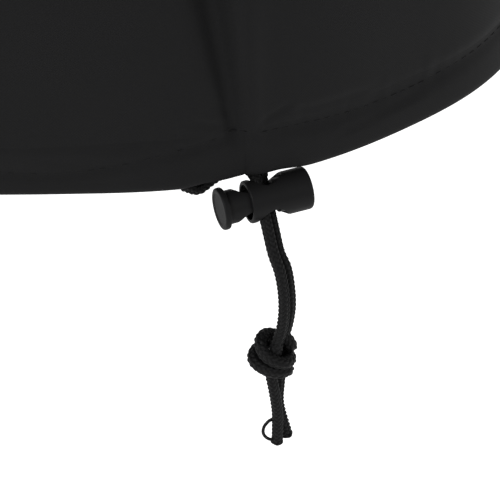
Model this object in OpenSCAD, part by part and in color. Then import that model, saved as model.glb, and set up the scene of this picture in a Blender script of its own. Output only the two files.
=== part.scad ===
// Drawstring cover for a portable grill: a sewn fabric shell, open underneath,
// with a cord in its hem and a sprung barrel lock on the two cord ends.
// The origin is the middle of the top panel's underside, where the cover rests
// on the grill lid. +X runs along the length, -Y is the front, +Z is up.

/* [Cover] */
// Length of the cover, outside
cover_w = 700; // [560:10:900]
// Depth of the cover, front to back, outside
cover_d = 480; // [400:10:620]
// Height from the underside of the top to the bottom edge of the hem
cover_h = 320; // [220:10:460]
// Radius of the four corners seen from above
corner_r = 150; // [130:5:180]
// Radius where the walls turn into the top
shoulder_r = 30; // [20:1:45]
// Thickness of the coated fabric, with its backing
fabric_t = 1.5; // [1:0.1:2.5]
// Arc length from where a corner begins to its seam
seam_along = 44.5; // [36:0.5:54]

/* [Hem casing] */
// Height of the hem casing
hem_h = 18; // [16:0.5:26]
// Thickness of the hem casing, with the cord inside it
hem_t = 7.8; // [7.6:0.1:10]
// How far the casing stands out past the wall
hem_out = 1.5; // [1:0.1:2]
// Wall of the casing
hem_wall = 1.4; // [1:0.1:1.4]

/* [Drawcord] */
// Diameter of the braided cord
cord_d = 3.8; // [3:0.1:3.8]
// Half of the hem opening, as an arc length to each side of the seam
opening_half = 24; // [22:0.5:30]

/* [Cord lock] */
// Outside diameter of the barrel
barrel_d = 13.2; // [13.2:0.1:14]
// Length of the barrel
barrel_l = 19.7; // [19.2:0.1:24]
// Wall between the barrel's outside and its bore
barrel_wall = 1.2; // [1:0.1:1.3]
// Thickness of the barrel's closed end
barrel_end = 1.6; // [1:0.1:1.8]
// Diameter of the cord hole through the barrel
cord_hole_d = 10.4; // [10.2:0.1:10.8]
// From the barrel's open end to the middle of the cord hole
cord_hole_at = 7; // [6.8:0.1:8]
// Radial play between plunger and barrel
plunger_play = 0.2; // [0.1:0.05:0.3]
// Diameter of the plunger's head
head_d = 13; // [12:0.1:13.2]
// Thickness of the plunger's head
head_t = 2; // [1.5:0.1:3]
// How far the plunger's neck stands out of the barrel
neck_l = 6.8; // [5:0.1:8]
// How far the plunger can be pressed in
press_travel = 4; // [3:0.1:4.2]
// Wire diameter of the spring
wire_d = 0.7; // [0.5:0.05:0.75]
// Turns of the spring
spring_turns = 3.5; // [3:0.5:4]

/* [Stitching] */
// Diameter of the sewing thread
thread_d = 0.7; // [0.4:0.05:1]
// Width of the tape behind each corner seam
tape_w = 22; // [16:1:30]
// Thickness of the tape
tape_t = 0.5; // [0.3:0.1:0.8]
// Distance between the two rows of a double stitched seam
row_gap = 6; // [4:0.5:8]

/* [Hidden] */
$fn = 180;
tiny = 0.01;

fabric_colour = [0.13, 0.13, 0.135];
trim_colour = [0.10, 0.10, 0.105];
cord_colour = [0.07, 0.07, 0.075];
lock_colour = [0.16, 0.16, 0.165];

// Centres of the corner arcs, and the angle from a corner's start to its seam.
arc_x = cover_w / 2 - corner_r;
arc_y = cover_d / 2 - corner_r;
seam_angle = seam_along / corner_r * 180 / PI;

// Heights. The hem's bottom edge is the lowest point of the fabric.
hem_bottom = -cover_h;
hem_top = hem_bottom + hem_h;
shoulder_z = fabric_t - shoulder_r;

// Radii of the casing's sides, measured from a corner arc's centre.
casing_outer = corner_r + hem_out;
casing_inner = casing_outer - hem_t;
casing_mid = (casing_outer + casing_inner) / 2;
cavity_r = hem_t / 2 - hem_wall;
cord_r = cord_d / 2;
cord_rise = 0.1;
cord_z = hem_bottom + hem_wall + cord_rise + cord_r;

// The opening in the casing: its deep part lies behind the lock, and a slot
// leads out of it to the left, where the left strand comes down.
open_angle = opening_half / corner_r * 180 / PI;
deep_left = 16 / corner_r * 180 / PI;
slot_left = 28 / corner_r * 180 / PI;
slot_half = cord_r + 0.4;
lift = 3;
inner_lift = 7;

// The point that the lock and the cord strands are placed from: the bottom of
// the casing's middle, at the front right seam.
anchor = [
    arc_x + casing_mid * sin(seam_angle),
    -arc_y - casing_mid * cos(seam_angle),
    hem_bottom
];

// The lock lies level, turned with the corner, and rolled so that its cord hole
// runs from the back of the hem down and forward.
lock_yaw = 21;
lock_roll = -39;
lock_from_anchor = [7.4, -0.6, -9.4];
lock_at = anchor + lock_from_anchor;
bore_r = barrel_d / 2 - barrel_wall;
stem_r = bore_r - plunger_play;
open_end = -cord_hole_at;
closed_end = open_end + barrel_l;
spring_room = closed_end - barrel_end;
head_face = open_end - neck_l;
strand_aside = 1.65;
window_half = strand_aside + cord_r + 0.45;
window_right = 2.2;
window_left_mid = window_right - 5 - press_travel;
web_t = 1;
spring_seat = window_right + web_t;
stem_end = spring_seat + 2;
spring_r = stem_r - 1.6 - wire_d / 2;
rim = 0.6;

// Routes of the cord, from the anchor, in millimetres. The leads run from the
// casing into the lock, the strands from the lock to the knot.
left_lead_route = [
    [-29, -5.8, 3.4], [-24.4, -5.2, 2.8], [-20, -4.6, 0.4], [-16.8, -3.7, -2.6], [-13.4, -2, -4.8],
    [-8.8, 0.3, -2.5], [-3.4, 2, -0.4], [1.2, 2.7, -1.2], [3.8, 1.1, -4], [4.7, -1.3, -7.1],
    [6.2, -5.1, -12.2]
];
right_lead_route = [
    [29.4, 12.6, 3.4], [25.4, 10.4, 3.4], [21, 8.6, 3.3], [16.8, 8.9, 2.5], [12.9, 9.3, 1.1],
    [9.2, 8.8, -0.8], [6.3, 7, -3], [5.5, 4.2, -5.8], [6.4, 1.8, -8.9], [7.9, -2, -14]
];
left_route = [
    [6.2, -5.1, -12.2], [7.6, -8.9, -17.2], [9, -12.4, -21.9], [10.9, -14.6, -27.2],
    [12, -16, -34.3], [12.2, -16.7, -41.8], [11.5, -16.9, -48.8], [10.1, -16.9, -54.2]
];
right_route = [
    [7.9, -2, -14], [9.3, -5.8, -19], [10.7, -9.4, -23.7], [12.8, -11.2, -28.6],
    [13.8, -12.4, -35], [14.1, -13, -42.1], [13.4, -13.2, -48.8], [12.2, -13.5, -54.2]
];
knot_mid = [8.9, -15, -59.8];
left_tail_route = [[7.6, -15.9, -64.2], [9.3, -17, -73.8], [10.4, -17, -83.8], [10.4, -16.8, -95.8]];
right_tail_route = [[11.6, -13.9, -64.2], [11, -13, -73.8], [10.8, -13, -83.8], [13.4, -13.2, -96.2]];
route_steps = 2;
tube_sides = 8;
tip_r = 2.1;

// ---------------------------------------------------------------- curves

function unit(v) = v / norm(v);

// A point on the smooth curve through p, a share t of the way from p[i] to p[i + 1].
function on_curve(p, i, t) =
    let (last = len(p) - 1,
         a = p[max(i - 1, 0)], b = p[i], c = p[i + 1], d = p[min(i + 2, last)])
    0.5 * (2 * b + (c - a) * t + (2 * a - 5 * b + 4 * c - d) * t * t
        + (3 * b - a - 3 * c + d) * t * t * t);

function smooth(p, steps) = [
    for (i = [0 : len(p) - 2]) for (k = [0 : steps - 1]) on_curve(p, i, k / steps),
    p[len(p) - 1]
];

function tangents(p) = [
    for (i = [0 : len(p) - 1]) unit(p[min(i + 1, len(p) - 1)] - p[max(i - 1, 0)])
];

// Side directions that turn as little as possible from ring to ring.
function sides_of(t) = [
    for (i = 0, u = unit(cross(t[0], [0.3, 0.2, 0.9])); i < len(t);
         i = i + 1, u = i < len(t) ? unit(u - (u * t[i]) * t[i]) : u) u
];

// A closed tube of n sides along the points p.
module tube(p, r, n) {
    t = tangents(p);
    u = sides_of(t);
    points = [
        for (i = [0 : len(p) - 1]) for (k = [0 : n - 1])
            let (w = cross(t[i], u[i]), a = 360 * k / n)
            p[i] + r * (cos(a) * u[i] + sin(a) * w)
    ];
    walls = [
        for (i = [0 : len(p) - 2]) for (k = [0 : n - 1])
            let (m = (k + 1) % n)
            [i * n + k, (i + 1) * n + k, (i + 1) * n + m, i * n + m]
    ];
    first = [for (k = [0 : n - 1]) k];
    last = [for (k = [n - 1 : -1 : 0]) (len(p) - 1) * n + k];
    polyhedron(points, concat(walls, [first], [last]), convexity = 6);
}

// ---------------------------------------------------------------- the plan

// Sweeps a section round a corner, from one direction to another. In the section,
// x is the distance from the corner arc's centre and y is the height. The sweep
// starts where it joins a straight side, so that the two meet exactly.
module round_corner(sx, sy, from, to) {
    translate([sx * arc_x, sy * arc_y, 0])
        rotate([0, 0, from])
            rotate_extrude(angle = to - from)
                children();
}

// Sweeps a section along a straight side, whose outward direction is facing.
module along_side(sx, sy, facing, length) {
    translate([sx * arc_x, sy * arc_y, 0])
        rotate([0, 0, facing])
            rotate([90, 0, 0])
                linear_extrude(length)
                    children();
}

module front_run() {
    round_corner(-1, -1, -90, -90 - seam_angle) children();
    along_side(1, -1, -90, 2 * arc_x) children();
    round_corner(1, -1, -90, -90 + seam_angle) children();
}

module back_run() {
    round_corner(1, 1, 90, 90 - seam_angle) children();
    along_side(-1, 1, 90, 2 * arc_x) children();
    round_corner(-1, 1, 90, 90 + seam_angle) children();
}

module right_run() {
    round_corner(1, -1, 0, -90 + seam_angle) children();
    along_side(1, 1, 0, 2 * arc_y) children();
    round_corner(1, 1, 0, 90 - seam_angle) children();
}

module left_run() {
    round_corner(-1, 1, 180, 90 + seam_angle) children();
    along_side(-1, -1, 180, 2 * arc_y) children();
    round_corner(-1, -1, 180, 270 - seam_angle) children();
}

// A closed loop all the way round, in four quarters.
module whole_run() {
    for (q = [[1, -1, -90, 2 * arc_x], [1, 1, 0, 2 * arc_y],
              [-1, 1, 90, 2 * arc_x], [-1, -1, 180, 2 * arc_y]]) {
        round_corner(q[0], q[1], q[2], q[2] + 90) children();
        along_side(q[0], q[1], q[2], q[3]) children();
    }
}

// Puts a piece at each of the four corner seams, facing outwards, with x as the
// distance from the corner arc's centre.
module at_seams() {
    for (s = [[-1, -1, -90 - seam_angle], [1, -1, -90 + seam_angle],
              [1, 1, 90 - seam_angle], [-1, 1, 90 + seam_angle]])
        translate([s[0] * arc_x, s[1] * arc_y, 0])
            rotate([0, 0, s[2]])
                children();
}

// ---------------------------------------------------------------- sections

// A wall that turns in over the shoulder to meet the top panel.
module wall_section() {
    translate([corner_r - fabric_t, hem_top])
        square([fabric_t, shoulder_z - hem_top]);
    intersection() {
        translate([corner_r - shoulder_r, shoulder_z])
            difference() {
                circle(shoulder_r);
                circle(shoulder_r - fabric_t);
            }
        translate([corner_r - shoulder_r, shoulder_z])
            square(shoulder_r);
    }
}

// The folded casing: flat on top, round underneath, and hollow.
module casing_section() {
    low = hem_bottom + hem_t / 2;
    difference() {
        union() {
            translate([casing_mid, low])
                circle(hem_t / 2);
            translate([casing_inner, low])
                square([hem_t, hem_top - low]);
        }
        translate([casing_mid, low])
            circle(cavity_r);
        translate([casing_mid - cavity_r, low])
            square([2 * cavity_r, hem_top - hem_wall - low]);
    }
}

// What the opening takes away from the casing: its bottom and its inner side.
module deep_opening_section() {
    translate([casing_inner - 1, hem_bottom - 1])
        square([hem_t + 2, lift + 1]);
    translate([casing_inner - 1, hem_bottom - 1])
        square([hem_t / 2 + 1, inner_lift + 1]);
}

module slot_section() {
    translate([casing_mid - slot_half, hem_bottom - 1])
        square([2 * slot_half, hem_t / 2 + 1]);
}

module thread_section(x, z) {
    translate([x, z])
        circle(thread_d / 2);
}

// ---------------------------------------------------------------- fabric

module top_panel() {
    r = corner_r - shoulder_r;
    color(fabric_colour)
        linear_extrude(fabric_t)
            union() {
                square([2 * arc_x, 2 * (arc_y + r)], center = true);
                square([2 * (arc_x + r), 2 * arc_y], center = true);
                for (sx = [-1, 1], sy = [-1, 1])
                    translate([sx * arc_x, sy * arc_y])
                        circle(r);
            }
}

module front_panel() {
    color(fabric_colour) front_run() wall_section();
}

module back_panel() {
    color(fabric_colour) back_run() wall_section();
}

module left_end_panel() {
    color(fabric_colour) left_run() wall_section();
}

module right_end_panel() {
    color(fabric_colour) right_run() wall_section();
}

module deep_opening() {
    round_corner(1, -1, -90 + seam_angle - deep_left, -90 + seam_angle + open_angle)
        deep_opening_section();
}

module slot() {
    round_corner(1, -1, -90 + seam_angle - slot_left, -90 + seam_angle - deep_left / 2)
        slot_section();
}

module front_hem() {
    color(fabric_colour)
        difference() {
            front_run() casing_section();
            deep_opening();
            slot();
        }
}

module back_hem() {
    color(fabric_colour) back_run() casing_section();
}

module left_hem() {
    color(fabric_colour) left_run() casing_section();
}

module right_hem() {
    color(fabric_colour)
        difference() {
            right_run() casing_section();
            deep_opening();
        }
}

// ---------------------------------------------------------------- sewing

module corner_seam_tapes() {
    half = tape_w / 2 / corner_r * 180 / PI;
    color(trim_colour)
        at_seams()
            rotate([0, 0, -half])
                rotate_extrude(angle = 2 * half)
                    translate([corner_r - fabric_t - tape_t, hem_top])
                        square([tape_t, shoulder_z - hem_top]);
}

module corner_seam_thread() {
    color(trim_colour)
        at_seams()
            for (side = [-1, 1])
                rotate([0, 0, side * row_gap / 2 / corner_r * 180 / PI])
                    translate([corner_r + thread_d / 2, 0, hem_top + 1])
                        cylinder(d = thread_d, h = shoulder_z - hem_top - 1, $fn = 24);
}

module top_seam_thread() {
    color(trim_colour)
        for (inset = [3, 3 + row_gap])
            whole_run()
                thread_section(corner_r - shoulder_r - inset, fabric_t + thread_d / 2, $fn = 24);
}

module hem_thread() {
    color(trim_colour)
        whole_run()
            thread_section(casing_outer + thread_d / 2, hem_top - 2, $fn = 24);
}

// Close rows of stitches that stop the hem opening from tearing further.
module bar_tacks() {
    tack_w = 1.6;
    tack_h = 7;
    tack_t = 0.6;
    color(trim_colour)
        for (a = [-deep_left - 1, open_angle + 1])
            translate([arc_x, -arc_y, 0])
                rotate([0, 0, -90 + seam_angle + a])
                    translate([casing_outer, -tack_w / 2, hem_bottom + hem_t / 2 + 1])
                        cube([tack_t, tack_w, tack_h]);
}

// ---------------------------------------------------------------- cord

// The stretch that the casing holds, all the way round from strand to strand.
module drawcord() {
    left_end = -90 + asin((anchor[0] + left_lead_route[0][0] - arc_x) / casing_mid);
    right_end = -90 + asin((anchor[0] + right_lead_route[0][0] - arc_x) / casing_mid);
    color(cord_colour) {
        round_corner(1, -1, 0, right_end) cord_section();
        along_side(1, 1, 0, 2 * arc_y) cord_section();
        round_corner(1, 1, 0, 90) cord_section();
        along_side(-1, 1, 90, 2 * arc_x) cord_section();
        round_corner(-1, 1, 90, 180) cord_section();
        along_side(-1, -1, 180, 2 * arc_y) cord_section();
        round_corner(-1, -1, 180, 270) cord_section();
        along_side(1, -1, -90, 2 * arc_x) cord_section();
        round_corner(1, -1, -90, left_end) cord_section();
    }
}

module cord_section() {
    translate([casing_mid, cord_z])
        circle(cord_r, $fn = 48);
}

module strand(route) {
    color(cord_colour)
        translate(anchor)
            tube(smooth(route, route_steps), cord_r, tube_sides);
}

module left_lead() {
    strand(left_lead_route);
}

module right_lead() {
    strand(right_lead_route);
}

module left_strand() {
    strand(left_route);
}

module right_strand() {
    strand(right_route);
}

module left_tail() {
    strand(left_tail_route);
}

module right_tail() {
    strand(right_tail_route);
}

// Both strands tied in one overhand knot, as its outer shape.
module knot() {
    color(cord_colour)
        translate(anchor + knot_mid)
            union() {
                for (lobe = [[-2.6, 1, 3.4, 4.4], [2.4, 0.4, 3, 4.6], [-4, 0, -2.6, 4],
                             [2.6, -0.4, -2.8, 4.4], [0, 0, 0, 6.2]])
                    translate([lobe[0], lobe[1], lobe[2]])
                        sphere(lobe[3], $fn = 64);
            }
}

// Melted ends that keep the braid from fraying.
module cord_tips() {
    color(cord_colour)
        translate(anchor)
            for (route = [left_tail_route, right_tail_route])
                translate(route[len(route) - 1])
                    sphere(tip_r, $fn = 48);
}

// ---------------------------------------------------------------- cord lock

// Places a piece of the lock: x runs along the barrel, z along its cord hole.
module in_lock() {
    translate(lock_at)
        rotate([lock_roll, 0, lock_yaw])
            children();
}

// A round body along x from a to b, with rounded outer edges.
module turned(a, b, r, edge) {
    rotate([0, 90, 0])
        translate([0, 0, a])
            rotate_extrude() {
                square([r - edge, b - a]);
                translate([0, edge])
                    square([r, b - a - 2 * edge]);
                for (z = [edge, b - a - edge])
                    translate([r - edge, z])
                        circle(edge, $fn = 32);
            }
}

module rod(a, b, r) {
    translate([a, 0, 0])
        rotate([0, 90, 0])
            cylinder(r = r, h = b - a);
}

module lock_barrel() {
    color(lock_colour)
        in_lock()
            difference() {
                turned(open_end, closed_end, barrel_d / 2, rim);
                rod(open_end - 1, spring_room, bore_r);
                cylinder(d = cord_hole_d, h = barrel_d + 2, center = true);
            }
}

// The window in the stem is long, so that the cord stays clear of it when the
// plunger is pressed in, and its left end shows in front of the barrel.
module lock_plunger() {
    color(lock_colour)
        in_lock()
            difference() {
                union() {
                    turned(head_face - head_t, head_face, head_d / 2, rim);
                    rod(head_face - tiny, stem_end, stem_r);
                }
                translate([window_left_mid, 0, 0])
                    cylinder(r = window_half, h = barrel_d, center = true);
                translate([window_left_mid, -window_half, -barrel_d / 2])
                    cube([window_right - window_left_mid, 2 * window_half, barrel_d]);
                rod(spring_seat, stem_end + 1, spring_r + wire_d / 2 + 0.2);
            }
}

module lock_spring() {
    a = spring_seat + wire_d / 2 + 0.05;
    b = spring_room - wire_d / 2 - 0.05;
    count = spring_turns * 24;
    coil = [
        for (i = [0 : count])
            let (w = 360 * spring_turns * i / count)
            [a + (b - a) * i / count, spring_r * cos(w), spring_r * sin(w)]
    ];
    color("silver")
        in_lock()
            tube(coil, wire_d / 2, tube_sides);
}

top_panel();
front_panel();
back_panel();
left_end_panel();
right_end_panel();
front_hem();
back_hem();
left_hem();
right_hem();
corner_seam_tapes();
corner_seam_thread();
top_seam_thread();
hem_thread();
bar_tacks();
drawcord();
left_lead();
right_lead();
left_strand();
right_strand();
knot();
left_tail();
right_tail();
cord_tips();
lock_barrel();
lock_plunger();
lock_spring();
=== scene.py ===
"""Looks of a drawstring cover for a portable grill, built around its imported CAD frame."""

import logging
import math
from dataclasses import dataclass, field
from enum import Enum
from typing import Callable, ClassVar, Iterable, Optional, Sequence

import bpy
import numpy as np
from mathutils import Matrix, Vector


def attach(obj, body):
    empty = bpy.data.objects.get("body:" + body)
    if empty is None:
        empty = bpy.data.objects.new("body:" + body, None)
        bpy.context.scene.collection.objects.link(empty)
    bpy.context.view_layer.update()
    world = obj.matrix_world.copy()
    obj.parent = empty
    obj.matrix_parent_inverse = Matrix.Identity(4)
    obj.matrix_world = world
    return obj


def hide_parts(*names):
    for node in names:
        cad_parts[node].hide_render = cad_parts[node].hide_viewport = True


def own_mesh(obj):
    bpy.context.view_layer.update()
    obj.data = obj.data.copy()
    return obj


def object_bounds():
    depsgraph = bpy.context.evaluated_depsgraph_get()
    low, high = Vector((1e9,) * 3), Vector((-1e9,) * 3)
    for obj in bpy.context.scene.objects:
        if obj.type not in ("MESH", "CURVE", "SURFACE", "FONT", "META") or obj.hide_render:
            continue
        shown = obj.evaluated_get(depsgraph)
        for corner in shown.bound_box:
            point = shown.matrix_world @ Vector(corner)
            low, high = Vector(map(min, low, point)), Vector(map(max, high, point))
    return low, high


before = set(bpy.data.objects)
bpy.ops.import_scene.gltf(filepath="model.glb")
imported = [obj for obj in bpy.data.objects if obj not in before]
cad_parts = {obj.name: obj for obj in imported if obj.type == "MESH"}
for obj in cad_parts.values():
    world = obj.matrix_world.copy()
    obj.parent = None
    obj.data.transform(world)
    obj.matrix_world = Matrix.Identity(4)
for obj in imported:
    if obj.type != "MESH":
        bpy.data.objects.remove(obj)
CAD_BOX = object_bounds()

log = logging.getLogger("grill_cover")
logging.basicConfig(level=logging.INFO, format="%(name)s: %(message)s")

Array = np.ndarray
Point = tuple[float, float, float]
MM = 0.001


# ---------------------------------------------------------------- helpers


def smooth(x: Array, low: float, high: float) -> Array:
    """Eases from 0 at low to 1 at high.

    Args:
        x: Values to ease.
        low: Where the ramp starts.
        high: Where the ramp ends.

    Returns:
        The eased values, from 0 to 1.
    """
    t = np.clip((x - low) / (high - low), 0.0, 1.0)
    return t * t * (3.0 - 2.0 * t)


def bell(x: Array, width: float | Array) -> Array:
    """Gives a bell curve of unit height and the given half width."""
    return np.exp(-((x / width) ** 2))


def catmull(points: Sequence[Sequence[float]], per_span: int) -> Array:
    """Draws the smooth curve that part.scad sweeps its cords along.

    Args:
        points: The points that the curve passes through.
        per_span: Points made for each span.

    Returns:
        The curve's points, one row each.
    """
    p = np.asarray(points, float)
    last = len(p) - 1
    rows = []
    for i in range(last):
        a, b, c, d = p[max(i - 1, 0)], p[i], p[i + 1], p[min(i + 2, last)]
        for t in np.arange(per_span) / per_span:
            rows.append(0.5 * (2 * b + (c - a) * t + (2 * a - 5 * b + 4 * c - d) * t**2
                               + (3 * b - a - 3 * c + d) * t**3))
    rows.append(p[last])
    return np.array(rows)


def evenly(points: Array, step: float) -> Array:
    """Spaces a curve's points evenly along its length.

    Args:
        points: The curve, one row a point.
        step: The distance wanted between points.

    Returns:
        The evenly spaced points, with both ends kept.
    """
    run = np.r_[0.0, np.cumsum(np.linalg.norm(np.diff(points, axis=0), axis=1))]
    count = max(2, int(round(run[-1] / step)) + 1)
    at = np.linspace(0.0, run[-1], count)
    return np.stack([np.interp(at, run, points[:, k]) for k in range(3)], axis=1)


def length_of(points: Array) -> float:
    """Gives the length along a row of points."""
    return float(np.linalg.norm(np.diff(points, axis=0), axis=1).sum())


def at_height(flat: Array, z: Array) -> Array:
    """Joins points seen from above with their heights, as x, y, z."""
    return np.concatenate([flat, z[..., None]], -1)


def only(obj: bpy.types.Object) -> bpy.types.Object:
    """Selects one object and makes it active, with everything else deselected."""
    if bpy.context.mode != "OBJECT":
        bpy.ops.object.mode_set(mode="OBJECT")
    bpy.ops.object.select_all(action="DESELECT")
    obj.select_set(True)
    bpy.context.view_layer.objects.active = obj
    return obj


def apply_modifier(obj: bpy.types.Object, kind: str, **values: object) -> None:
    """Adds a modifier, sets it and applies it.

    Args:
        obj: The object to change.
        kind: The modifier's type.
        **values: The modifier's settings.
    """
    only(obj)
    modifier = obj.modifiers.new(kind.lower(), kind)
    for key, value in values.items():
        setattr(modifier, key, value)
    bpy.ops.object.modifier_apply(modifier=modifier.name)


def shade(obj: bpy.types.Object, angle: float = 40.0) -> None:
    """Smooths the shading, except over edges sharper than the angle in degrees."""
    only(obj)
    bpy.ops.object.shade_smooth_by_angle(angle=math.radians(angle))


def mesh_from(name: str, points: Array, faces: Sequence[Sequence[int]],
              uv: Optional[Array] = None) -> bpy.types.Object:
    """Makes a mesh object from points in millimetres.

    Args:
        name: The object's name.
        points: Its points, one row each.
        faces: Its faces, as point numbers.
        uv: A map position for each point, in millimetres along the cloth or cord.

    Returns:
        The new object, at the origin.
    """
    mesh = bpy.data.meshes.new(name)
    mesh.from_pydata((points * MM).tolist(), [], [list(f) for f in faces])
    if uv is not None:
        layer = mesh.uv_layers.new(name="run")
        loops = np.empty(len(mesh.loops), np.int32)
        mesh.loops.foreach_get("vertex_index", loops)
        layer.data.foreach_set("uv", (uv[loops] * MM).astype(np.float32).ravel())
    mesh.polygons.foreach_set("use_smooth", [True] * len(mesh.polygons))
    mesh.update()
    obj = bpy.data.objects.new(name, mesh)
    bpy.context.scene.collection.objects.link(obj)
    return obj


def grid_faces(rows: int, columns: int, closed: bool = False,
               keep: Optional[Callable[[int, int], bool]] = None) -> list[tuple[int, ...]]:
    """Lists the four-sided faces of a grid of points.

    Args:
        rows: Number of rows of points.
        columns: Number of points in a row.
        closed: Whether each row's last point joins its first.
        keep: Says whether the face at a row and column stays.

    Returns:
        The faces, as point numbers.
    """
    faces = []
    for i in range(rows - 1):
        for j in range(columns if closed else columns - 1):
            if keep is not None and not keep(i, j):
                continue
            m = (j + 1) % columns
            faces.append((i * columns + j, i * columns + m, (i + 1) * columns + m, (i + 1) * columns + j))
    return faces


def place(obj: bpy.types.Object, matrix: Matrix) -> None:
    """Moves an object's mesh by a matrix, and leaves the object at the origin."""
    obj.data.transform(matrix)
    obj.data.update()


# ---------------------------------------------------------------- sizes


@dataclass(frozen=True)
class CoverSizes:
    """Driving sizes of the cover in millimetres, as in the CAD source."""

    width: float = 700.0
    depth: float = 480.0
    height: float = 320.0
    corner: float = 150.0
    shoulder: float = 30.0
    panel: float = 1.5
    seam_along: float = 44.5
    hem: float = 18.0
    hem_thick: float = 7.8
    hem_out: float = 1.5
    cord: float = 3.8

    @property
    def arc_x(self) -> float:
        """Distance from the middle to a corner arc's centre, along the length."""
        return self.width / 2 - self.corner

    @property
    def arc_y(self) -> float:
        """Distance from the middle to a corner arc's centre, across the depth."""
        return self.depth / 2 - self.corner

    @property
    def casing_mid(self) -> float:
        """Radius of the casing's middle at a corner."""
        return self.corner + self.hem_out - self.hem_thick / 2

    @property
    def seam_angle(self) -> float:
        """Angle from a corner's start to its seam, in radians."""
        return self.seam_along / self.corner

    @property
    def anchor(self) -> Array:
        """Bottom of the casing's middle at the front right seam."""
        return np.array([self.arc_x + self.casing_mid * math.sin(self.seam_angle),
                         -self.arc_y - self.casing_mid * math.cos(self.seam_angle),
                         -self.height])


COVER = CoverSizes()


class Plan:
    """The cover's outline seen from above, walked by arc length from the middle of the front."""

    def __init__(self, sizes: CoverSizes) -> None:
        """Lays out the straight sides and corners.

        Args:
            sizes: The cover's sizes.
        """
        self.sizes = sizes
        quarter = sizes.corner * math.pi / 2
        runs = [sizes.arc_x, quarter, 2 * sizes.arc_y, quarter, 2 * sizes.arc_x,
                quarter, 2 * sizes.arc_y, quarter, sizes.arc_x]
        self.starts = np.r_[0.0, np.cumsum(runs)]
        self.length = float(self.starts[-1])
        self.front_seam = sizes.arc_x + sizes.seam_along
        half = self.length / 2
        self.seams = [self.front_seam, half - self.front_seam,
                      half + self.front_seam, self.length - self.front_seam]

    def at(self, s: Array) -> tuple[Array, Array]:
        """Finds points on the outline and their outward directions.

        Args:
            s: Arc lengths, in millimetres.

        Returns:
            The points and the outward directions, as arrays whose last axis is x, y.
        """
        size = self.sizes
        s = np.mod(np.asarray(s, float), self.length)
        spot, out = np.zeros(s.shape + (2,)), np.zeros(s.shape + (2,))
        centres = [(size.arc_x, -size.arc_y), (size.arc_x, size.arc_y),
                   (-size.arc_x, size.arc_y), (-size.arc_x, -size.arc_y)]
        for k in range(9):
            here = (s >= self.starts[k]) & (s <= self.starts[k + 1])
            t = s[here] - self.starts[k]
            if k % 2:
                cx, cy = centres[k // 2]
                turn = np.radians(-90.0 + 90.0 * (k // 2)) + t / size.corner
                way = np.stack([np.cos(turn), np.sin(turn)], -1)
                spot[here] = np.array([cx, cy]) + size.corner * way
            else:
                turn = math.radians(-90.0 + 90.0 * (k // 2))
                way = np.broadcast_to([math.cos(turn), math.sin(turn)], t.shape + (2,))
                along = np.array([-math.sin(turn), math.cos(turn)])
                cx, cy = centres[(k // 2 - 1) % 4] if k else (0.0, -size.arc_y)
                spot[here] = np.array([cx, cy]) + size.corner * way + t[..., None] * along
            out[here] = way
        return spot, out


# ---------------------------------------------------------------- drape


@dataclass(frozen=True)
class Fold:
    """One soft fold in the walls: where it starts on the hem, and how it leans, deepens and fades."""

    at: float
    depth: float
    width: float
    lean: float = 0.0
    widen: float = 0.03
    fade_from: float = 120.0
    fade_to: float = 260.0
    deepen: float = 0.0


@dataclass(frozen=True)
class Crease:
    """One short pucker, from one point on the cloth to another, as (along, up)."""

    start: tuple[float, float]
    end: tuple[float, float]
    depth: float
    width: float


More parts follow.
